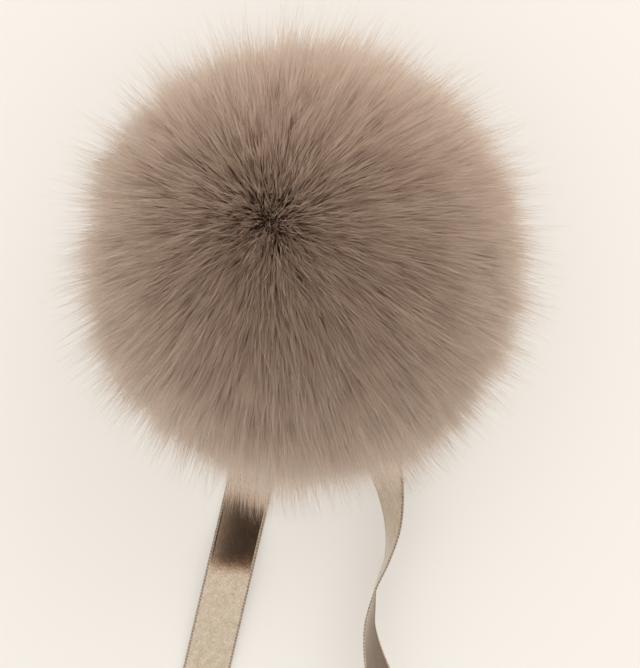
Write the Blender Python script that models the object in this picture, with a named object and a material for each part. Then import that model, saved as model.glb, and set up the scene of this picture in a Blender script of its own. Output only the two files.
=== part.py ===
"""A faux-fur pom pom with two satin ribbon tails, lying on a flat surface.

Metres, +Z up. The origin is on the surface, in the middle of the flat spot under
the ball, and the tails run towards -Y. Three solids: the fur ball, whose locks
grow out of one backing, and the two free tails of its ribbon.
"""

import math
import random

import bmesh
import bpy
from mathutils import Matrix, Vector

MM = 0.001

# The ball. Its backing is the gathered round of fur cloth, full of filling.
FUR_RADIUS = 70 * MM        # middle of the backing to the lock tips
BACKING_RADIUS = 41 * MM
CENTRE_HEIGHT = 52 * MM     # the fur is pressed in below, by the ball's own weight
HEIGHT_SHARE = 0.96         # a soft ball is a little lower than it is wide
CROWN_TILT = math.radians(8)      # the whorl on top leans off the vertical
CROWN_HEADING = math.radians(141)  # and lies towards -X and +Y
BACKING_SPLITS = 3          # an icosphere of 320 faces, one lock on each of 300

# The gathered neck under the ball, where the ribbon is sewn in.
NECK_RADIUS = 8.5 * MM

# A lock: a three-sided tuft that swells, narrows and ends in a point.
ROOT_INSET = 1.1 * MM
BELLY_AT = 0.52
BELLY_WIDTH = 1.2
SHOULDER_AT = 0.8
SHOULDER_WIDTH = 0.78
LENGTH_SPREAD = 0.12
LEAN = math.radians(19)     # how far the pile lies over, away from the whorl
LEAN_FADE = 0.9             # below the widest ring it fades over this angle, in radians
LEAN_LEAST = -0.3           # and turns back a little underneath
STRAY = 1.3 * MM            # how far a tip wanders from its place
PRESSED_OUT = 0.75          # how far the floor pushes a lock outwards, per depth
BELLY_CLEARANCE = 5.5 * MM  # middle of a low lock above the floor or ribbon
SHOULDER_CLEARANCE = 2.2 * MM
RIBBON_MARGIN = 5 * MM      # locks this near a ribbon lie on it
SEED = 7

# The ribbon.
RIBBON_WIDTH = 15 * MM
RIBBON_THICKNESS = 1 * MM
PINCHED_WIDTH = 6 * MM      # where it is gathered into the neck
PINCH_LENGTH = 24 * MM      # and this far out it lies at its full width
STATION_STEP = 2.5 * MM
DIRECTION_STEP = 0.5        # either side of a station, in mm, to see where it heads
GAP = 0.3 * MM

# Left tail: straight, flat, with one low hump. y and height of its underside, in mm.
LEFT_ROOT_X = -2.5
LEFT_SLOPE = 0.235          # mm towards -X for each mm towards -Y
LEFT_ROUTE = (
    # y, height
    (-8.8, 0.0),
    (-68.0, 0.0),
    (-74.0, 0.0),
    (-78.0, 0.15),
    (-81.0, 0.45),
    (-84.5, 0.9),
    (-90.0, 1.65),
    (-94.5, 2.25),
    (-98.0, 2.6),
    (-101.5, 2.7),
    (-107.0, 2.55),
    (-117.0, 1.85),
    (-129.0, 0.9),
    (-140.0, 0.25),
    (-150.0, 0.0),
    (-206.0, 0.0),
)

# Right tail: it turns over once on its way, standing on one edge at 90 degrees.
RIGHT_ROUTE = (
    # y, x, turn in degrees
    (-7.0, 4.0, 0.0),
    (-22.0, 9.6, 0.0),
    (-36.0, 15.0, 4.0),
    (-50.0, 20.8, 19.0),
    (-63.3, 25.9, 42.0),
    (-72.8, 28.3, 57.0),
    (-84.4, 29.1, 73.0),
    (-95.3, 27.2, 88.0),
    (-103.6, 23.8, 92.5),
    (-111.8, 22.0, 101.0),
    (-118.7, 21.5, 106.0),
    (-130.0, 23.5, 119.0),
    (-145.0, 28.2, 139.0),
    (-160.0, 33.2, 161.0),
    (-176.0, 38.0, 176.0),
    (-186.0, 40.9, 180.0),
    (-206.0, 46.6, 180.0),
)

DOWN = Vector((0, 0, -1))
CENTRE = Vector((0, 0, CENTRE_HEIGHT))
CROWN = Vector((
    math.sin(CROWN_TILT) * math.cos(CROWN_HEADING),
    math.sin(CROWN_TILT) * math.sin(CROWN_HEADING),
    math.cos(CROWN_TILT),
))


def clear_scene():
    for obj in list(bpy.data.objects):
        bpy.data.objects.remove(obj, do_unlink=True)


def material(name, colour, roughness, metallic=0.0):
    made = bpy.data.materials.new(name)
    made.use_nodes = True
    shader = made.node_tree.nodes["Principled BSDF"]
    shader.inputs["Base Color"].default_value = (*colour, 1)
    shader.inputs["Roughness"].default_value = roughness
    shader.inputs["Metallic"].default_value = metallic
    made.diffuse_color = (*colour, 1)
    return made


def finished(name, bm, finish, sharp_degrees):
    """The bmesh as a named object, shaded smooth up to the given angle."""
    bmesh.ops.recalc_face_normals(bm, faces=bm.faces)
    mesh = bpy.data.meshes.new(name)
    bm.to_mesh(mesh)
    bm.free()
    mesh.materials.append(finish)
    mesh.shade_smooth()
    mesh.set_sharp_from_angle(angle=math.radians(sharp_degrees))
    obj = bpy.data.objects.new(name, mesh)
    bpy.context.collection.objects.link(obj)
    return obj


def smooth_row(rows, y):
    """The table's other columns at y, on a smooth curve through its rows."""
    last = len(rows) - 1
    at = next((i for i in range(last) if y >= rows[i + 1][0]), last - 1)
    before = rows[max(at - 1, 0)]
    start = rows[at]
    end = rows[at + 1]
    after = rows[min(at + 2, last)]
    span = end[0] - start[0]
    t = (y - start[0]) / span
    found = []
    for column in range(1, len(start)):
        slope_in = (end[column] - before[column]) / (end[0] - before[0]) * span
        slope_out = (after[column] - start[column]) / (after[0] - start[0]) * span
        found.append(
            (2 * t**3 - 3 * t**2 + 1) * start[column]
            + (t**3 - 2 * t**2 + t) * slope_in
            + (3 * t**2 - 2 * t**3) * end[column]
            + (t**3 - t**2) * slope_out
        )
    return found


def left_middle(y):
    """The left tail's middle line and turn at y."""
    (height,) = smooth_row(LEFT_ROUTE, y)
    x = LEFT_ROOT_X + (y - LEFT_ROUTE[0][0]) * LEFT_SLOPE
    middle = Vector((x, y, max(height, 0))) * MM
    middle.z += RIBBON_THICKNESS / 2
    return middle, 0.0


def right_middle(y):
    """The right tail's middle line and turn at y: its lower edge stays on the floor."""
    x, degrees = smooth_row(RIGHT_ROUTE, y)
    turn = math.radians(min(max(degrees, 0), 180))
    low = RIBBON_WIDTH / 2 * math.sin(turn)
    low += RIBBON_THICKNESS / 2 * abs(math.cos(turn))
    return Vector((x * MM, y * MM, low)), turn


def ribbon_width(y, root_y):
    """Drawn in at the neck, then full."""
    share = min((root_y - y) * MM / PINCH_LENGTH, 1)
    eased = share * share * (3 - 2 * share)
    return PINCHED_WIDTH + (RIBBON_WIDTH - PINCHED_WIDTH) * eased


def ribbon_stations(middle_of, route):
    """(middle, across, normal, width) of the ribbon, root to free end."""
    root_y, end_y = route[0][0], route[-1][0]
    count = round((root_y - end_y) * MM / STATION_STEP)
    stations = []
    for i in range(count + 1):
        y = root_y + (end_y - root_y) * i / count
        middle, turn = middle_of(y)
        next_middle, _ = middle_of(max(y - DIRECTION_STEP, end_y))
        last_middle, _ = middle_of(min(y + DIRECTION_STEP, root_y))
        ahead = next_middle - last_middle
        ahead.normalize()
        level = Vector((ahead.y, -ahead.x, 0)).normalized()
        across = Matrix.Rotation(turn, 3, ahead) @ level
        normal = ahead.cross(across).normalized()
        stations.append((middle, across, normal, ribbon_width(y, root_y)))
    return stations


def add_ribbon(name, stations, finish):
    bm = bmesh.new()
    rings = []
    for middle, across, normal, width in stations:
        side = across * width / 2
        up = normal * RIBBON_THICKNESS / 2
        corners = (side + up, -side + up, -side - up, side - up)
        rings.append([bm.verts.new(middle + corner) for corner in corners])
    for ring, following in zip(rings, rings[1:]):
        for i in range(4):
            j = (i + 1) % 4
            bm.faces.new((ring[i], ring[j], following[j], following[i]))
    bm.faces.new(rings[0])
    bm.faces.new(rings[-1])
    return finished(name, bm, finish, 50)


def room_below(point, stations, margin):
    """The lowest a lock may reach here: the floor, or just above a ribbon."""
    lowest = 0.0
    for middle, across, _, width in stations:
        if math.dist(middle.xy, point.xy) < width / 2 + margin:
            top = middle.z + abs(across.z) * width / 2 + RIBBON_THICKNESS / 2
            lowest = max(lowest, top + 2 * GAP)
    return lowest


def lock_path(root, outward, away, length, stray, stations):
    """Middles of the lock's belly, shoulder and tip, bent over and held off the floor."""
    path = []
    steps = ((BELLY_AT, BELLY_CLEARANCE), (SHOULDER_AT, SHOULDER_CLEARANCE), (1, 0))
    for share, clearance in steps:
        along = math.cos(LEAN) * share * length
        aside = math.sin(LEAN) * share**2 * length
        point = root + outward * along + away * aside + stray * share
        depth = room_below(point, stations, RIBBON_MARGIN) + clearance - point.z
        if depth > 0:
            point += Vector((outward.x, outward.y, 0)).normalized() * depth * PRESSED_OUT
            point.z = room_below(point, stations, RIBBON_MARGIN) + clearance
        path.append(point)
    return path


def grow_lock(bm, face, stations, dice):
    """Turns one face of the backing into a lock, fused to it at its root."""
    middle = face.calc_center_median()
    outward = (middle - CENTRE).normalized()
    away = outward * outward.dot(CROWN) - CROWN
    polar = outward.angle(CROWN)
    away = away.normalized() * math.sin(polar) if away.length > 0 else Vector()
    if polar > math.pi / 2:
        away *= max(1 - (polar - math.pi / 2) / LEAN_FADE, LEAN_LEAST)
    length = (FUR_RADIUS - BACKING_RADIUS) * (1 + dice.uniform(-1, 1) * LENGTH_SPREAD)
    stray = Vector([dice.uniform(-1, 1) for _ in range(3)]) * STRAY
    path = lock_path(middle, outward, away, length, stray, stations)
    bmesh.ops.inset_individual(bm, faces=[face], thickness=ROOT_INSET)
    spokes = [vert.co - middle for vert in face.verts]
    facing = face.normal.copy()
    low_point = middle
    for share, width in zip(path, (BELLY_WIDTH, SHOULDER_WIDTH)):
        turned = facing.rotation_difference(share - low_point)
        (face,) = bmesh.ops.extrude_discrete_faces(bm, faces=[face])["faces"]
        for vert, spoke in zip(face.verts, spokes):
            vert.co = share + turned @ spoke * width
            vert.co.z = max(vert.co.z, room_below(vert.co, stations, GAP) + GAP)
        low_point = share
    (tip,) = bmesh.ops.poke(bm, faces=[face])["verts"]
    tip.co = path[-1]


def add_ball(stations, finish):
    dice = random.Random(SEED)
    bm = bmesh.new()
    turned = DOWN.rotation_difference(-CROWN).to_matrix().to_4x4()
    bmesh.ops.create_icosphere(
        bm,
        subdivisions=BACKING_SPLITS,
        radius=BACKING_RADIUS,
        matrix=Matrix.Translation(CENTRE) @ turned,
    )
    lowest = min(bm.verts, key=lambda vert: vert.co.z)
    rim = {edge.other_vert(lowest) for edge in lowest.link_edges}
    bare = {face for vert in rim for face in vert.link_faces}
    locks = [face for face in bm.faces if face not in bare]
    (neck,) = bmesh.ops.dissolve_faces(bm, faces=list(lowest.link_faces))["region"]
    (neck,) = bmesh.ops.extrude_discrete_faces(bm, faces=[neck])["faces"]
    middle = neck.calc_center_median()
    for vert in neck.verts:
        spoke = Vector((vert.co.x - middle.x, vert.co.y - middle.y, 0))
        vert.co = spoke.normalized() * NECK_RADIUS
    for face in locks:
        grow_lock(bm, face, stations, dice)
    for vert in bm.verts:
        if vert.co.z > CENTRE_HEIGHT:
            vert.co.z = CENTRE_HEIGHT + (vert.co.z - CENTRE_HEIGHT) * HEIGHT_SHARE
    print(len(locks), "locks,", len(bm.faces), "faces")
    return finished("fur_ball", bm, finish, 25)


def main():
    clear_scene()
    fur = material("taupe_fur", (0.27, 0.19, 0.14), 0.85)
    satin = material("champagne_satin", (0.58, 0.47, 0.35), 0.35)
    left = ribbon_stations(left_middle, LEFT_ROUTE)
    right = ribbon_stations(right_middle, RIGHT_ROUTE)
    add_ball(left + right, fur)
    add_ribbon("ribbon_tail_left", left, satin)
    add_ribbon("ribbon_tail_right", right, satin)


main()
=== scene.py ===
# %% [markdown]
# # A faux-fur pom pom with satin ribbon tails
# A fur pom pom is a round of long-pile cloth, gathered into a ball over its filling. What we see is
# only hair: about 140,000 fine hairs that stand out from the whorl on top and gather into small
# points. Two tails of satin ribbon come out from under it. This lesson dresses the plain solids of
# the frame: first the frame itself, then the stage, the fur, and the ribbon.

# %% Load the frame
import math
import bmesh
import bpy
import numpy as np
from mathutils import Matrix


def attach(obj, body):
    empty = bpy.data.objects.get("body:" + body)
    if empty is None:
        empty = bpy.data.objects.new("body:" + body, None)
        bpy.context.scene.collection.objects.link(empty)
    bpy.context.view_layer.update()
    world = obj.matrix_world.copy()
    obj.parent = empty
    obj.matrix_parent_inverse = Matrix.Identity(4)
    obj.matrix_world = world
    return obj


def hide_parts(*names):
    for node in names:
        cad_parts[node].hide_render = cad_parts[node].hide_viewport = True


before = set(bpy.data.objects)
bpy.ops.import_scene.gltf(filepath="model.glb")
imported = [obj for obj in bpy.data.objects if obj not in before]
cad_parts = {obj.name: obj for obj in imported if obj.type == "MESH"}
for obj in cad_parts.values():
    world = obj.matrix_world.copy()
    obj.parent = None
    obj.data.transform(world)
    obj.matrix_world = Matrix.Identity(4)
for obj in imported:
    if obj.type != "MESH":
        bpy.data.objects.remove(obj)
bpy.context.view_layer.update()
MM = 0.001

# %% [markdown]
# ## The stage
# The pom pom lies on a pale surface and the camera looks straight down on it, as in a flat-lay
# picture. A lens with a narrow view, 60 cm up, keeps the ball from bulging. It stands a little to
# the right of the ball and towards the tails, which is why the whorl seems to lean away from it.

# %% Camera
CAMERA_SPOT = (5.6 * MM, -22.6 * MM, 600 * MM)
SENSOR_WIDTH = 36
LENS = 99.2
camera_data = bpy.data.cameras.new("overhead")
camera_data.sensor_width = SENSOR_WIDTH
camera_data.lens = LENS
camera = bpy.data.objects.new("overhead", camera_data)
camera.location = CAMERA_SPOT
bpy.context.collection.objects.link(camera)
bpy.context.scene.camera = camera
print("camera", camera_data.lens, "mm lens at", camera.location[:])


# %% [markdown]
# A Principled shader is the start of every finish here. The first helper makes one, sets the numbers
# that are the same all over straight on its sockets, and hands back its nodes for the rest. The
# second adds a Math node, so that a pattern can be written as a short sum.


# %% Helpers for finishes
def finish_named(name, **sockets):
    made = bpy.data.materials.new(name)
    made.use_nodes = True
    shader = made.node_tree.nodes["Principled BSDF"]
    for socket, value in sockets.items():
        shader.inputs[socket.replace("_", " ")].default_value = value
    return made, made.node_tree, shader


def maths(tree, operation, first, second=0.0, third=0.0):
    node = tree.nodes.new("ShaderNodeMath")
    node.operation = operation
    for socket, value in zip(node.inputs, (first, second, third)):
        if isinstance(value, (int, float)):
            socket.default_value = value
        else:
            tree.links.new(value, socket)
    return node.outputs["Value"]


# %% [markdown]
# A pale thing on a pale floor is pictured in a light tent: cloth walls glow all round, and the
# floor is lit from below as well, so shadows stay faint. The floor here glows a little too. The
# tent could be built of lamps, but a bright world does the same with less noise. One thing in it
# is dark, the slit that the camera looks through, and satin shows it as a soft dark patch
# wherever it tips the right way. A far softbox gives the light its side.


# %% The floor
FLOOR_SIZE = 6
FLOOR_GLOW = 0.368


def add_floor():
    bpy.ops.mesh.primitive_plane_add(size=FLOOR_SIZE, location=(0, 0, 0))
    floor = bpy.context.object
    floor.name = "floor"
    made, _, _ = finish_named(
        "pale_floor",
        Base_Color=(0.55, 0.525, 0.496, 1),
        Roughness=0.8,
        Emission_Color=(1, 0.965, 0.90, 1),
        Emission_Strength=FLOOR_GLOW,
    )
    made.cycles.emission_sampling = "NONE"
    floor.data.materials.append(made)
    print("floor", FLOOR_SIZE, "m wide")


add_floor()


# %% The softbox
def add_light(name, spot, size, power, colour):
    data = bpy.data.lights.new(name, "AREA")
    data.shape = "DISK"
    data.size = size
    data.energy = power
    data.color = colour
    light = bpy.data.objects.new(name, data)
    light.location = spot
    aim = -light.location.normalized()
    light.rotation_euler = aim.to_track_quat("-Z", "Y").to_euler()
    bpy.context.collection.objects.link(light)
    return light


add_light("far_softbox", (0.9, 1.25, 0.95), 1.6, 7, (1, 0.98, 0.95))
print(len(bpy.data.lights), "softbox")


# %% The room
LOW_LIGHT = 1.31
HIGH_LIGHT = 1.06
# the slit towards +y and towards +x: its middle, half its size and its soft edge, as slopes
GAP_ACROSS = (0.20, 0.22, 0.13)
GAP_ALONG = (0.25, 0.48, 0.12)
GAP_DARK = 0.98
FAR_SIDE = 0.15  # how much brighter the room is towards +y
LEVEL_LEAST = 0.05


def add_room():
    """A bright tent, a little brighter low down, with a dark slit overhead for the camera."""
    world = bpy.data.worlds.new("room")
    world.use_nodes = True
    tree = world.node_tree
    place = tree.nodes.new("ShaderNodeTexCoord")
    parts = tree.nodes.new("ShaderNodeSeparateXYZ")
    tree.links.new(place.outputs["Generated"], parts.inputs["Vector"])
    x, y, z = (parts.outputs[axis] for axis in "XYZ")
    fade = tree.nodes.new("ShaderNodeMapRange")
    fade.inputs["From Min"].default_value = 0.0
    fade.inputs["From Max"].default_value = 0.8
    fade.inputs["To Min"].default_value = LOW_LIGHT
    fade.inputs["To Max"].default_value = HIGH_LIGHT
    tree.links.new(z, fade.inputs["Value"])
    sided = maths(tree, "MULTIPLY_ADD", y, FAR_SIDE, fade.outputs["Result"])
    level = maths(tree, "MAXIMUM", z, LEVEL_LEAST)
    slit = None
    for side, (middle, half, edge) in ((y, GAP_ACROSS), (x, GAP_ALONG)):
        slope = maths(tree, "DIVIDE", side, level)
        off = maths(tree, "ABSOLUTE", maths(tree, "SUBTRACT", slope, middle))
        inside = tree.nodes.new("ShaderNodeMapRange")
        inside.interpolation_type = "SMOOTHSTEP"
        inside.inputs["From Min"].default_value = half + edge
        inside.inputs["From Max"].default_value = half - edge
        tree.links.new(off, inside.inputs["Value"])
        found = inside.outputs["Result"]
        slit = found if slit is None else maths(tree, "MULTIPLY", slit, found)
    left = maths(tree, "MULTIPLY_ADD", slit, -GAP_DARK, 1.0)
    background = tree.nodes["Background"]
    tint = tree.nodes.new("ShaderNodeMix")
    tint.data_type = "RGBA"
    tint.inputs["A"].default_value = (1, 0.98, 0.95, 1)
    tint.inputs["B"].default_value = (1, 0.5, 0.25, 1)
    tree.links.new(slit, tint.inputs["Factor"])
    tree.links.new(tint.outputs["Result"], background.inputs["Color"])
    tree.links.new(maths(tree, "MULTIPLY", sided, left), background.inputs["Strength"])
    bpy.context.scene.world = world


add_room()
bpy.context.scene.view_settings.view_transform = "Standard"
print("room", HIGH_LIGHT, "bright overhead and", LOW_LIGHT, "low down")

# %% [markdown]
# ## The shape of the pile
# All hairs follow one rule. Each root sits on the backing, and its hair leans away from the whorl,
# a little at the top and more down the sides. Low hairs meet the floor or a ribbon and are pushed
# outwards along it. The same few sizes as in the solids fix the ball, so hair and solids agree.

# %% Sizes of the ball
CENTRE = np.array([0, 0, 52 * MM])
ROOT_RADIUS = 41 * MM
PILE_LENGTH = 26 * MM
HEIGHT_SHARE = 0.96
WHORL_ROOT = np.array([-9, 10, 46]) * MM
WHORL_AXIS = np.array([0.027, -0.059, 0.998])
LEAN = 0.40
WHORL_SPREAD = 0.31
BEND = 0.10
DROOP = 0.07
BRUSHED = np.array([0.6, -1.2, 0]) * MM
PRESSED_OUT = 0.7
FARTHEST = 82 * MM
HIGHEST = 131 * MM
dice = np.random.default_rng(20)
print("ball of", 2 * (ROOT_RADIUS + PILE_LENGTH) / MM, "mm, with its middle at", CENTRE[2] / MM, "mm")


# %% Vector helpers
CROWN_SHARE = 1.2  # above 1, more hairs grow on top than below


def unit(vectors):
    size = np.linalg.norm(vectors, axis=-1, keepdims=True)
    return vectors / np.maximum(size, 1e-12)


def dot(a, b):
    return np.sum(a * b, axis=-1, keepdims=True)


def even_directions(count, jitter):
    """Directions spread evenly over a ball, on a golden spiral, each moved a little."""
    index = np.arange(count) + 0.5
    height = 1 - 2 * (index / count) ** CROWN_SHARE
    turn = index * math.pi * (3 - math.sqrt(5))
    level = np.sqrt(1 - height**2)
    spread = np.stack([level * np.cos(turn), level * np.sin(turn), height], axis=1)
    return unit(spread + dice.normal(size=(count, 3)) * jitter)


def soft_noise(directions, waves, scale):
    """A smooth vector noise over the ball: a sum of a few waves."""
    total = np.zeros_like(directions)
    for _ in range(waves):
        heading = unit(dice.normal(size=3)) * scale
        phase = dice.uniform(0, 2 * math.pi)
        push = unit(dice.normal(size=3))
        total += np.sin(directions @ heading + phase)[:, None] * push
    return total / math.sqrt(waves)


def from_whorl(roots):
    """Each root's heading away from the whorl, and its angle from the whorl's axis."""
    straight = unit(roots - WHORL_ROOT)
    return straight, np.arccos(np.clip(dot(straight, WHORL_AXIS), -1, 1))


# %% [markdown]
# The ribbon has to be known before the fur, because hairs lie on it. Each tail is a middle line
# with a width and a turn: 0 degrees is flat, 90 stands on its edge, 180 is flat with the other
# side up. It could be drawn as a curve by hand, but rows keep it equal to the solids, because
# they are the same ones. They are in millimetres.

# %% Routes of the tails
RIBBON_WIDTH = 15 * MM
PINCHED_WIDTH = 6 * MM
PINCH_LENGTH = 24
RIB = 0.14 * MM
FLOOR_CLEARANCE = 0.03 * MM
LEFT_ROOT_X, LEFT_SLOPE = -2.5, 0.235
LEFT_ROUTE = (
    # y, height
    (-8.8, 0.0),
    (-68.0, 0.0),
    (-74.0, 0.0),
    (-78.0, 0.15),
    (-81.0, 0.45),
    (-84.5, 0.9),
    (-90.0, 1.65),
    (-94.5, 2.25),
    (-98.0, 2.6),
    (-101.5, 2.7),
    (-107.0, 2.55),
    (-117.0, 1.85),
    (-129.0, 0.9),
    (-140.0, 0.25),
    (-150.0, 0.0),
    (-206.0, 0.0),
)
RIGHT_ROUTE = (
    # y, x, turn in degrees
    (-7.0, 4.0, 0.0),
    (-22.0, 9.6, 0.0),
    (-36.0, 15.0, 4.0),
    (-50.0, 20.8, 19.0),
    (-63.3, 25.9, 42.0),
    (-72.8, 28.3, 57.0),
    (-84.4, 29.1, 73.0),
    (-95.3, 27.2, 88.0),
    (-103.6, 23.8, 92.5),
    (-111.8, 22.0, 101.0),
    (-118.7, 21.5, 106.0),
    (-130.0, 23.5, 119.0),
    (-145.0, 28.2, 139.0),
    (-160.0, 33.2, 161.0),
    (-176.0, 38.0, 176.0),
    (-186.0, 40.9, 180.0),
    (-206.0, 46.6, 180.0),
)


# %% Smooth lines through the rows
def smooth_rows(rows, ys):
    """The other columns at each y, on a smooth curve through the rows."""
    table = np.array(rows)
    knots = table[:, 0]
    at = np.clip(np.searchsorted(-knots, -ys, side="right") - 1, 0, len(knots) - 2)
    before, after = np.maximum(at - 1, 0), np.minimum(at + 2, len(knots) - 1)
    span = knots[at + 1] - knots[at]
    t = ((ys - knots[at]) / span)[:, None]
    start, end = table[at, 1:], table[at + 1, 1:]
    slope_in = (end - table[before, 1:]) * (span / (knots[at + 1] - knots[before]))[:, None]
    slope_out = (table[after, 1:] - start) * (span / (knots[after] - knots[at]))[:, None]
    return (
        (2 * t**3 - 3 * t**2 + 1) * start
        + (t**3 - 2 * t**2 + t) * slope_in
        + (3 * t**2 - 2 * t**3) * end
        + (t**3 - t**2) * slope_out
    )


def tail_line(side, ys, thick):
    """Middle points and turns of a tail at each y in mm, for cloth of this thickness."""
    if side == "left":
        height = np.maximum(smooth_rows(LEFT_ROUTE, ys)[:, 0], 0)
        xs = LEFT_ROOT_X + (ys - LEFT_ROUTE[0][0]) * LEFT_SLOPE
        turn = np.zeros_like(ys)
        zs = height * MM + thick / 2 + RIB + FLOOR_CLEARANCE
    else:
        found = smooth_rows(RIGHT_ROUTE, ys)
        xs = found[:, 0]
        turn = np.radians(np.clip(found[:, 1], 0, 180))
        zs = RIBBON_WIDTH / 2 * np.sin(turn) + (thick / 2 + RIB) * np.abs(np.cos(turn)) + FLOOR_CLEARANCE
    return np.stack([xs * MM, ys * MM, zs], axis=1), turn


def tail_frame(side, ys, thick):
    """Middle, across, normal and width at each y."""
    middle, turn = tail_line(side, ys, thick)
    ahead = unit(np.gradient(middle, axis=0))
    level = unit(np.stack([ahead[:, 1], -ahead[:, 0], np.zeros(len(ys))], axis=1))
    lifted = np.cross(ahead, level)
    across = level * np.cos(turn)[:, None] + lifted * np.sin(turn)[:, None]
    share = np.clip((ys[0] - ys) / PINCH_LENGTH, 0, 1)
    width = PINCHED_WIDTH + (RIBBON_WIDTH - PINCHED_WIDTH) * share**2 * (3 - 2 * share)
    return middle, across, unit(np.cross(across, ahead)), width


# %% [markdown]
# A hair that grows low meets the floor, or the ribbon that lies on it, and slides outwards along
# it. A cloth or hair simulation would find that too, but slowly and a little differently each
# time. Two rules are enough: how low a hair may reach at each place, and where the rest goes.

# %% How low a hair may reach
OVER_FLOOR = 0.15 * MM
OVER_RIBBON = 0.9 * MM
BESIDE_RIBBON = 1.2 * MM
LAST_HAIR_Y = -100
ROUTE_STEP = 1.5


def resting_height(points):
    """The floor, or the top of the ribbon that lies there."""
    lowest = np.full(len(points), OVER_FLOOR)
    for side, route in (("left", LEFT_ROUTE), ("right", RIGHT_ROUTE)):
        ys = np.arange(route[0][0], LAST_HAIR_Y, -ROUTE_STEP)
        middle, across, _, width = tail_frame(side, ys, MM)
        tops = middle[:, 2] + np.abs(across[:, 2]) * width / 2 + OVER_RIBBON
        reach = width / 2 * np.linalg.norm(across[:, :2], axis=1) + BESIDE_RIBBON
        for spot, top, wide in zip(middle, tops, reach):
            near = np.hypot(points[:, 0] - spot[0], points[:, 1] - spot[1]) < wide
            lowest[near] = np.maximum(lowest[near], top)
    return lowest


# %% The path of a hair
LEAN_FADE = 0.9
LEAN_LEAST = -0.3
ROOT_RISE = 6 * MM  # a root stays this far above what its tip rests on


def pile_path(outward, length, sway, share):
    """Points at this share of each hair's length."""
    roots = outward * ROOT_RADIUS + CENTRE
    straight, polar = from_whorl(roots)
    away = unit(straight * dot(straight, WHORL_AXIS) - WHORL_AXIS)
    low_fade = np.clip(1 - (polar - math.pi / 2) / LEAN_FADE, LEAN_LEAST, 1)
    heading = unit(straight + away * LEAN * (1 - np.exp(-polar / WHORL_SPREAD)) * low_fade)
    level = heading * np.array([1, 1, 0])
    points = roots + heading * length[:, None] * share
    points += (level * BEND + sway) * length[:, None] * share**2 + BRUSHED * share**2
    points[:, 2] -= DROOP * length * share**2 * np.linalg.norm(level, axis=1)
    above = points[:, 2] > CENTRE[2]
    points[above, 2] = CENTRE[2] + (points[above, 2] - CENTRE[2]) * HEIGHT_SHARE
    depth = np.maximum(resting_height(points) + (1 - share) * ROOT_RISE - points[:, 2], 0)
    points += unit(outward * np.array([1, 1, 0])) * depth[:, None] * PRESSED_OUT
    points[:, 2] += depth
    reach = np.hypot(points[:, 0], points[:, 1])
    points[:, :2] *= np.minimum(1, FARTHEST / np.maximum(reach, MM))[:, None]
    points[:, 2] = np.minimum(points[:, 2], HIGHEST)
    return points


# %% [markdown]
# ## The hairs
# So many hairs can't be placed by hand, and particle hair isn't a mesh, so they are made as one
# array of points: each hair is a thin spike of three sides, closed at its root. What makes it
# look like fur and not like a brush is how the hairs gather. Each belongs to a small clump, whose
# hairs draw together towards one point. Clumps lean together into wider locks, with a dark
# parting between two locks. The longest hairs stand apart and are finer.

# %% Locks
LOCKS = 620
LOCK_DRAW = 0.34
LOCK_OUT = even_directions(LOCKS, 0.03)
LOCK_SWAY = soft_noise(LOCK_OUT, 24, 9) * 0.06 + dice.normal(size=(LOCKS, 3)) * 0.05
LOCK_TIGHT = dice.uniform(0.2, 1.6, size=LOCKS) * LOCK_DRAW
print(LOCKS, "locks")


# %% Hairs in clumps
COMBED, COMBED_SPREAD = 0.35, 0.45  # how much calmer hairs lie by the whorl, and how far out
CLUMP_SWAY, CLUMP_SPREAD, CLUMP_UNEVEN, CLUMP_TONE = 0.05, 0.45, 0.04, 0.13
SHORTEST, LONGEST, LONGEST_DRAW = 0.86, 0.4, 3.2
CURL = 0.025
FINER = 0.45  # how much thinner the longest hairs are
FREE_TIPS, FREE_RIM = 0.75, 0.6  # how far the longest hairs and the rim's escape their clump
HAIR_TONE, LONG_TONE = 0.10, 0.12
# painted light: hairs round the sides are coloured paler, for the light shining through them at the rim
PAINTED_RIM_LIGHT = 0.52
# painted shade: hairs by the whorl are coloured darker, for the depth seen down into the pile
PAINTED_CROWN_SHADE = 0.14
SOFT_ALL, CROWN_SOFT = 0.08, 0.72  # how much plainer the shading is all over, and on top
APRON_SPREAD = (0.08, 0.05, 0.09)


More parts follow.
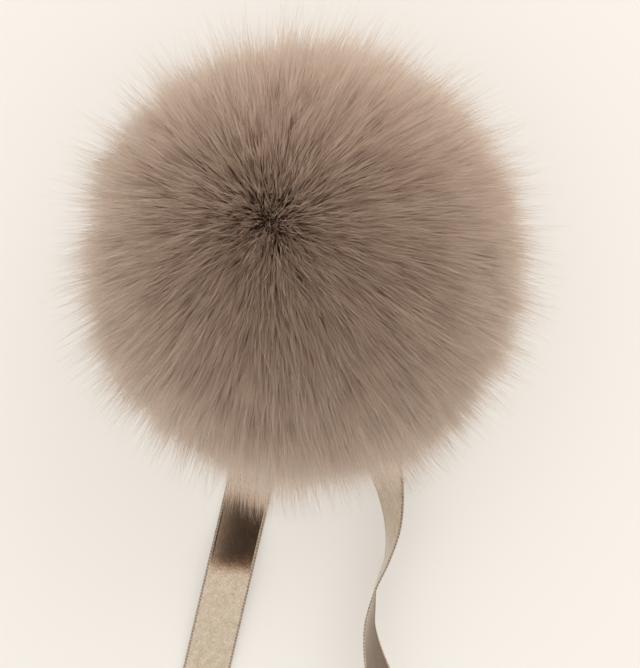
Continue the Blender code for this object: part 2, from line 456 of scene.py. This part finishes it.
def clumped_hairs(clumps, each, shares, reach, draw, loose, wisp, towards=None):
    """Points (hairs, steps, 3), and for each hair its tone, its softness and its share of width."""
    count = clumps * each
    clump_out = even_directions(clumps, 0.02)
    if towards is not None:
        clump_out = unit(np.array(towards) + dice.normal(size=(clumps, 3)) * APRON_SPREAD)
    spacing = math.sqrt(4 * math.pi / max(clumps, LOCKS))
    lock_of = np.argmax(clump_out @ LOCK_OUT.T, axis=1)
    polar = from_whorl(clump_out * ROOT_RADIUS + CENTRE)[1]
    calm = 1 - COMBED * np.exp(-(polar / COMBED_SPREAD) ** 2)
    clump_sway = (LOCK_SWAY[lock_of] + dice.normal(size=(clumps, 3)) * CLUMP_SWAY) * calm
    clump_length = PILE_LENGTH * reach * (1 + dice.normal(size=clumps) * CLUMP_UNEVEN)
    clump_tone = dice.normal(size=clumps) * CLUMP_TONE
    of = np.repeat(np.arange(clumps), each)
    outward = unit(clump_out[of] + dice.normal(size=(count, 3)) * spacing * CLUMP_SPREAD)
    longer = np.minimum(dice.exponential(size=count), LONGEST_DRAW) * wisp
    length = clump_length[of] * (SHORTEST + longer)
    sway = clump_sway[of] + dice.normal(size=(count, 3)) * loose * calm[of]
    curl = dice.normal(size=(count, 3)) * CURL * length[:, None]
    extra = np.clip(length / clump_length[of] - 0.95, 0, LONGEST) / LONGEST
    rise = dot(outward, WHORL_AXIS)
    free = (1 - FREE_TIPS * extra[:, None]) * (1 - FREE_RIM + FREE_RIM * np.clip(rise / 0.4, 0, 1))
    pull = draw * dice.uniform(0.2, 1.3, size=(count, 1)) * calm[of] * free
    lock_length = np.full(LOCKS, PILE_LENGTH * reach)
    parting = LOCK_TIGHT[lock_of[of]][:, None] * calm[of] * np.clip(rise / 0.3, 0.15, 1)
    parting *= 1 - 0.75 * np.clip(rise, 0, 1) ** 3
    steps = []
    for share in shares:
        own = pile_path(outward, length, sway, share)
        own += curl * math.sin(math.pi * share)
        clump = pile_path(clump_out, clump_length, clump_sway, share)[of]
        lock = pile_path(LOCK_OUT, lock_length, LOCK_SWAY, share)[lock_of[of]]
        drawn = (clump - own) * pull
        if towards is None:
            drawn += (lock - own) * parting
        steps.append(own + drawn * share**1.4)
    rise = rise[:, 0]
    # painted light and shade in the tone: paler round the rim, darker on the crown
    painted_rim_light_crown_shade = PAINTED_RIM_LIGHT * (1 - rise**2) ** 2 - PAINTED_CROWN_SHADE * np.clip(rise, 0, 1) ** 3
    tone = clump_tone[of] + dice.normal(size=count) * HAIR_TONE + painted_rim_light_crown_shade + LONG_TONE * extra
    soft = SOFT_ALL + CROWN_SOFT * np.clip(rise, 0, 1) ** 2
    return np.stack(steps, axis=1), np.stack([tone, soft, 1 - FINER * extra], axis=1)


# %% [markdown]
# A mesh of this size is written straight from arrays: one pattern of corner numbers for a single
# hair, repeated with an offset. Each corner's UV holds no place in a picture but two numbers that
# the finish reads: how light the hair is, and how far along it the corner lies.

# %% Hair meshes
MIDDLE_SHADE = 0.55
TAPER = 0.2  # how much thinner a hair is at each step
OFF_FLOOR = 0.05 * MM


def hair_pattern(steps):
    """Corner numbers of one hair's faces, the size of each face, and each corner's step."""
    faces = [[2, 1, 0]]
    for ring in range(steps - 2):
        for i in range(3):
            j = (i + 1) % 3
            faces.append([3 * ring + i, 3 * ring + j, 3 * ring + 3 + j, 3 * ring + 3 + i])
    last = 3 * (steps - 2)
    faces += [[last + i, last + (i + 1) % 3, last + 3] for i in range(3)]
    step_of = [i // 3 for i in range(last + 3)] + [steps - 1]
    return np.concatenate(faces), np.array([len(f) for f in faces]), np.array(step_of)


def hair_mesh(name, points, tone, radius, shades, finish):
    """One closed spike of three sides along each row of points."""
    count, steps = points.shape[:2]
    pattern, sizes, step_of = hair_pattern(steps)
    ahead = unit(points[:, -1] - points[:, 0])
    side = unit(np.cross(ahead, dice.normal(size=(count, 3))))
    other = np.cross(ahead, side)
    verts = np.empty((count, len(step_of), 3), np.float32)
    for corner, step in enumerate(step_of[:-1]):
        turn = corner % 3 * 2 * math.pi / 3
        spoke = side * math.cos(turn) + other * math.sin(turn)
        thick = radius * tone[:, 2] * (1 - TAPER * step)
        verts[:, corner] = points[:, step] + spoke * thick[:, None]
    verts[:, -1] = points[:, -1]
    verts[:, :, 2] = np.maximum(verts[:, :, 2], OFF_FLOOR)
    loops = (np.arange(count)[:, None] * len(step_of) + pattern).ravel()
    starts = np.concatenate([[0], np.cumsum(np.tile(sizes, count))[:-1]])
    mesh = bpy.data.meshes.new(name)
    mesh.vertices.add(count * len(step_of))
    mesh.vertices.foreach_set("co", verts.ravel())
    mesh.loops.add(len(loops))
    mesh.loops.foreach_set("vertex_index", loops.astype(np.int32))
    mesh.polygons.add(len(starts))
    mesh.polygons.foreach_set("loop_start", starts.astype(np.int32))
    mesh.polygons.foreach_set("use_smooth", np.ones(len(starts), bool))
    mesh.update(calc_edges=True)
    along = np.interp(step_of, (0, steps - 1), shades)
    beside = (np.arange(len(step_of)) % 3) * 0.002
    uvs = np.empty((count, len(pattern), 2), np.float32)
    uvs[:, :, 0] = np.clip(0.5 + tone[:, :1], 0.02, 0.97) + beside[pattern]
    uvs[:, :, 1] = MIDDLE_SHADE + (along[pattern] - MIDDLE_SHADE) * (1 - tone[:, 1:2])
    mesh.uv_layers.new(name="OFBake").data.foreach_set("uv", uvs.ravel())
    mesh.materials.append(finish)
    hairs = bpy.data.objects.new(name, mesh)
    bpy.context.collection.objects.link(hairs)
    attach(hairs, "root")
    print(name, count, "hairs,", count * (int(sizes.sum()) - 2 * len(sizes)), "triangles")
    return hairs


# %% [markdown]
# Faux fur is dyed acrylic, and no two hairs are quite alike. One ramp colours a hair along its
# length and another by its tone, and the two are multiplied. The ramp along the length is painted
# shade: dark at the root, where little light gets in, and pale at the tip. A little sheen stands
# for the light that runs along the fibres.

# %% The finish of the hair
def ramp(tree, stops, source):
    node = tree.nodes.new("ShaderNodeValToRGB")
    while len(node.color_ramp.elements) < len(stops):
        node.color_ramp.elements.new(0.5)
    for element, (place, colour) in zip(node.color_ramp.elements, stops):
        element.position = place
        element.color = (*colour, 1)
    tree.links.new(source, node.inputs["Fac"])
    return node.outputs["Color"]


def mixed(tree, blend, share, first, second):
    node = tree.nodes.new("ShaderNodeMix")
    node.data_type = "RGBA"
    node.blend_type = blend
    node.inputs["Factor"].default_value = share
    tree.links.new(first, node.inputs["A"])
    tree.links.new(second, node.inputs["B"])
    return node.outputs["Result"]


def fur_finish():
    made, tree, shader = finish_named("taupe_fur", Roughness=0.6)
    shader.inputs["Specular IOR Level"].default_value = 0.3
    shader.inputs["Sheen Weight"].default_value = 0.35
    shader.inputs["Sheen Roughness"].default_value = 0.5
    shader.inputs["Sheen Tint"].default_value = (1, 0.86, 0.74, 1)
    place = tree.nodes.new("ShaderNodeUVMap")
    place.uv_map = "OFBake"
    parts = tree.nodes.new("ShaderNodeSeparateXYZ")
    tree.links.new(place.outputs["UV"], parts.inputs["Vector"])
    # painted shade: this ramp darkens each hair towards its root, for the depth of the pile
    along = ramp(tree, (
        (0.0, (0.31, 0.195, 0.13)),
        (0.45, (0.59, 0.433, 0.336)),
        (0.8, (0.885, 0.708, 0.577)),
        (1.0, (0.98, 0.865, 0.745)),
    ), parts.outputs["Y"])
    tone = ramp(tree, (
        (0.0, (0.53, 0.455, 0.40)),
        (0.5, (0.80, 0.755, 0.72)),
        (1.0, (1.0, 1.0, 1.0)),
    ), parts.outputs["X"])
    tree.links.new(mixed(tree, "MULTIPLY", 1, along, tone), shader.inputs["Base Color"])
    return made


# %% [markdown]
# The coat's long hairs come first, then the undercoat, shorter and thicker, which fills the gaps
# between them. A piece should stay under 200,000 triangles, so each coat is cut into three
# meshes by height. Wisps are single fine hairs past the rim, and two aprons of them lie over
# the ribbon tails.

# %% Grow the fur
fur = fur_finish()
coat, coat_tone = clumped_hairs(7200, 7, (0, 0.5, 1), 0.975, 0.5, 0.07, 0.18)
order = np.argsort(-coat[:, 0, 2])
for name, picked in zip(("fur_crown", "fur_waist", "fur_skirt"), np.array_split(order, 3)):
    thick = np.interp(coat[picked, 0, 2] - CENTRE[2], (0, ROOT_RADIUS), (0.165 * MM, 0.13 * MM))
    hair_mesh(name, coat[picked], coat_tone[picked], thick, (0.0, 1.0), fur)
under, under_tone = clumped_hairs(8500, 10, (0, 1), 0.84, 0.2, 0.13, 0.10)
order = np.argsort(-under[:, 0, 2])
for name, picked in zip(
    ("undercoat_crown", "undercoat_waist", "undercoat_skirt"), np.array_split(order, 3)
):
    thick = np.interp(under[picked, 0, 2] - CENTRE[2], (0, ROOT_RADIUS), (0.27 * MM, 0.46 * MM))
    # painted shade: the undercoat's ramp runs only from 0.05 to 0.75, so it is coloured darker than the
    # coat it lies under
    hair_mesh(name, under[picked], under_tone[picked], thick, (0.05, 0.75), fur)

# %% Wisps
SIDE_BAND = 0.6 * ROOT_RADIUS
KEPT_ELSEWHERE = 0.25
stray, stray_tone = clumped_hairs(7600, 1, (0, 0.5, 1), 1.14, 0, 0.16, 0.16)
at_sides = np.abs(stray[:, 0, 2] - CENTRE[2]) < SIDE_BAND
kept = at_sides | (dice.uniform(size=len(stray)) < KEPT_ELSEWHERE)
stray, stray_tone = stray[kept], stray_tone[kept]
OVER_LEFT = (-0.27, -0.94, -0.20)
OVER_RIGHT = (0.36, -0.92, -0.18)
for towards, clumps in ((OVER_LEFT, 70), (OVER_RIGHT, 30)):
    apron, apron_tone = clumped_hairs(clumps, 5, (0, 0.5, 1), 1.76, 0.1, 0.05, 0.07, towards)
    stray = np.concatenate([stray, apron])
    stray_tone = np.concatenate([stray_tone, apron_tone])
thick = np.full(len(stray), 0.10 * MM)
# painted light: wisps and aprons get tone +0.2 and roots no darker than 0.2, for the light shining
# through lone hairs
hair_mesh("fur_wisps", stray, stray_tone + (0.2, 0, 0.1), thick, (0.2, 1.0), fur)

# %% [markdown]
# Between the hairs the eye meets the cloth they grow from, drawn over its filling, with its own
# short dense down. It is a padded piece: a ball with soft bumps, a little lower than it is wide.
# It starts as an icosphere, whose faces are all alike, and its bumps are a smooth noise.


# %% Underfur
UNDERFUR_RADIUS = 48 * MM


def add_underfur():
    bpy.ops.object.select_all(action="DESELECT")
    bpy.ops.mesh.primitive_ico_sphere_add(subdivisions=5, radius=UNDERFUR_RADIUS, location=CENTRE)
    core = bpy.context.object
    core.name = "underfur"
    bpy.ops.object.transform_apply(location=True)
    spots = np.array([vert.co[:] for vert in core.data.vertices])
    outward = unit(spots - CENTRE)
    swell = 1.2 * soft_noise(outward, 40, 22)[:, 0] + 0.5 * soft_noise(outward, 60, 60)[:, 1]
    spots += outward * swell[:, None] * MM
    above = spots[:, 2] > CENTRE[2]
    spots[above, 2] = CENTRE[2] + (spots[above, 2] - CENTRE[2]) * HEIGHT_SHARE
    core.data.vertices.foreach_set("co", spots.ravel())
    # painted shade: the underfur is coloured dark brown for the shaded depth of the pile under the hairs
    made, _, _ = finish_named("underfur", Base_Color=(0.34, 0.235, 0.165, 1), Roughness=0.95)
    core.data.materials.append(made)
    bpy.ops.object.shade_smooth()
    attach(core, "root")
    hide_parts("fur_ball")
    print("underfur", len(core.data.polygons), "faces")
    return core


add_underfur()

# %% [markdown]
# ## The ribbon
# Satin ribbon is a thin woven sheet. Its face is all long smooth floats, so it mirrors the room
# softly, and shows the dark slit overhead where it rises over its hump. Both edges are selvedges,
# woven as a row of small beads. It could be a plane with modifiers, but a strip of quads along the
# route follows the solids exactly, is cupped a little across, and has more columns at the edges,
# where the selvedge stands up as a rib. Its own UV map is in millimetres: across, and along.

# %% The cross-section of the cloth
CLOTH = 0.3 * MM
BOW = 1.6 * MM  # how strongly the cloth is cupped across
# across, as a share of the width, and how far the rib stands there
SECTION = (
    (-0.5, 0.0),
    (-0.49, 0.8),
    (-0.47, 1.0),
    (-0.45, 0.7),
    (-0.435, 0.0),
    (-0.42, 0.0),
    (-0.3, 0.0),
    (-0.15, 0.0),
    (0.0, 0.0),
    (0.15, 0.0),
    (0.3, 0.0),
    (0.42, 0.0),
    (0.435, 0.0),
    (0.45, 0.7),
    (0.47, 1.0),
    (0.49, 0.8),
    (0.5, 0.0),
)
REVERSE_U = 40.0  # the reverse side's map starts this far over
ROWS = 260


# %% Ribbon strips
def ribbon_mesh(name, side, route, finish):
    ys = np.linspace(route[0][0], route[-1][0], ROWS)
    middle, across, normal, width = tail_frame(side, ys, CLOTH)
    along = np.concatenate([[0], np.cumsum(np.linalg.norm(np.diff(middle, axis=0), axis=1))]) / MM
    bm = bmesh.new()
    uv = bm.loops.layers.uv.new("weave")
    rows = []
    for spot, wide_way, up, wide in zip(middle, across, normal, width):
        top, low = [], []
        for share, rib in SECTION:
            cup = BOW * (0.25 - share**2 - 0.25 * max(0.0, -up[2]))
            level = spot + wide_way * wide * share + up * cup
            top.append(bm.verts.new(level + up * (CLOTH / 2 + rib * RIB)))
            low.append(bm.verts.new(level - up * (CLOTH / 2 + rib * RIB)))
        rows.append(top + low[::-1])
    count = len(SECTION)
    marks = [share * RIBBON_WIDTH / MM for share, _ in SECTION]
    marks += [mark + REVERSE_U for mark in marks[::-1]]
    for k in range(len(rows) - 1):
        for i in range(2 * count):
            j = (i + 1) % (2 * count)
            face = bm.faces.new((rows[k][i], rows[k][j], rows[k + 1][j], rows[k + 1][i]))
            corners = ((i, k), (j, k), (j, k + 1), (i, k + 1))
            for loop, (column, row) in zip(face.loops, corners):
                across_mm = marks[column] if i % count != count - 1 else marks[i]
                loop[uv].uv = (across_mm, along[row])
    bm.faces.new(rows[0])
    bm.faces.new(rows[-1])
    bmesh.ops.recalc_face_normals(bm, faces=bm.faces)
    mesh = bpy.data.meshes.new(name)
    bm.to_mesh(mesh)
    bm.free()
    mesh.shade_smooth()
    mesh.set_sharp_from_angle(angle=math.radians(50))
    mesh.materials.append(finish)
    ribbon = bpy.data.objects.new(name, mesh)
    bpy.context.collection.objects.link(ribbon)
    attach(ribbon, "root")
    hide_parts("ribbon_tail_" + side)
    print(name, round(along[-1]), "mm long,", len(mesh.polygons), "faces")
    return ribbon


# %% [markdown]
# The finish of satin is nearly a metal's: a coloured mirror, blurred across the floats. Fine noise
# stretched along the length gives the mottled grain, and a wave along each edge gives the beads,
# pushed about by the grain so that they aren't too even. The selvedge and the reverse are matte.
# Sheen lightens the cloth where it is seen at a slant, as where the right tail turns over.


# %% Helpers for patterns
def noise(tree, vector, scale, stretch, detail):
    mapping = tree.nodes.new("ShaderNodeMapping")
    mapping.inputs["Scale"].default_value = (scale, scale * stretch, 1)
    tree.links.new(vector, mapping.inputs["Vector"])
    node = tree.nodes.new("ShaderNodeTexNoise")
    node.inputs["Scale"].default_value = 1
    node.inputs["Detail"].default_value = detail
    tree.links.new(mapping.outputs["Vector"], node.inputs["Vector"])
    return node.outputs["Fac"]


def mixed_by(tree, share, first, second):
    node = tree.nodes.new("ShaderNodeMix")
    node.data_type = "RGBA"
    for socket, value in (("Factor", share), ("A", first), ("B", second)):
        if isinstance(value, tuple):
            node.inputs[socket].default_value = (*value, 1)
        else:
            tree.links.new(value, node.inputs[socket])
    return node.outputs["Result"]


# %% The finish of the satin
SELVEDGE = 6.75
BEAD_PITCH = 1.07
BEAD_SLANT = 0.35
BEAD_UNEVEN = 1.3


def satin_finish():
    made, tree, shader = finish_named("champagne_satin")
    shader.inputs["Anisotropic"].default_value = 0.8
    shader.inputs["Sheen Weight"].default_value = 1.0
    shader.inputs["Sheen Roughness"].default_value = 0.3
    shader.inputs["Sheen Tint"].default_value = (1, 0.92, 0.82, 1)
    floats = tree.nodes.new("ShaderNodeTangent")
    floats.direction_type = "UV_MAP"
    floats.uv_map = "weave"
    tree.links.new(floats.outputs["Tangent"], shader.inputs["Tangent"])
    place = tree.nodes.new("ShaderNodeUVMap")
    place.uv_map = "weave"
    parts = tree.nodes.new("ShaderNodeSeparateXYZ")
    tree.links.new(place.outputs["UV"], parts.inputs["Vector"])
    reverse = maths(tree, "GREATER_THAN", parts.outputs["X"], REVERSE_U / 2)
    across = maths(tree, "MULTIPLY_ADD", reverse, -REVERSE_U, parts.outputs["X"])
    edge = maths(tree, "GREATER_THAN", maths(tree, "ABSOLUTE", across), SELVEDGE)
    grain = noise(tree, place.outputs["UV"], 3.4, 0.33, 3)
    patch = noise(tree, place.outputs["UV"], 0.5, 0.7, 2)
    pitches = maths(tree, "DIVIDE", parts.outputs["Y"], BEAD_PITCH)
    turns = maths(tree, "MULTIPLY_ADD", across, BEAD_SLANT, pitches)
    uneven = maths(tree, "MULTIPLY_ADD", grain, BEAD_UNEVEN, turns)
    wave = maths(tree, "SINE", maths(tree, "MULTIPLY", uneven, 2 * math.pi))
    bead = maths(tree, "MULTIPLY_ADD", wave, 0.5, 0.5)
    face = ramp(tree, (
        (0.36, (0.48, 0.385, 0.29)),
        (0.5, (0.585, 0.485, 0.375)),
        (0.64, (0.69, 0.59, 0.47)),
    ), maths(tree, "MULTIPLY_ADD", patch, 0.35, maths(tree, "MULTIPLY", grain, 0.65)))
    beads = ramp(tree, (
        (0.2, (0.235, 0.18, 0.13)),
        (0.75, (0.50, 0.41, 0.31)),
    ), bead)
    dull = mixed_by(tree, reverse, (1, 1, 1), (0.26, 0.215, 0.175))
    woven = mixed_by(tree, edge, mixed(tree, "MULTIPLY", 1, face, dull), beads)
    matte = maths(tree, "MAXIMUM", reverse, edge)
    tree.links.new(woven, shader.inputs["Base Color"])
    tree.links.new(maths(tree, "MULTIPLY_ADD", matte, -0.93, 0.98), shader.inputs["Metallic"])
    tree.links.new(maths(tree, "MULTIPLY_ADD", matte, 0.2, 0.155), shader.inputs["Roughness"])
    bump = tree.nodes.new("ShaderNodeBump")
    bump.inputs["Strength"].default_value = 0.36
    bump.inputs["Distance"].default_value = 0.06 * MM
    height = maths(tree, "MULTIPLY_ADD", maths(tree, "MULTIPLY", edge, bead), 1.5, grain)
    tree.links.new(height, bump.inputs["Height"])
    tree.links.new(bump.outputs["Normal"], shader.inputs["Normal"])
    return made


# %% [markdown]
# Both tails are lengths of one ribbon, so they share the strip, the section and the finish. Each
# stands for its own solid.

# %% Lay the ribbon tails
satin = satin_finish()
ribbon_mesh("ribbon_left", "left", LEFT_ROUTE, satin)
ribbon_mesh("ribbon_right", "right", RIGHT_ROUTE, satin)
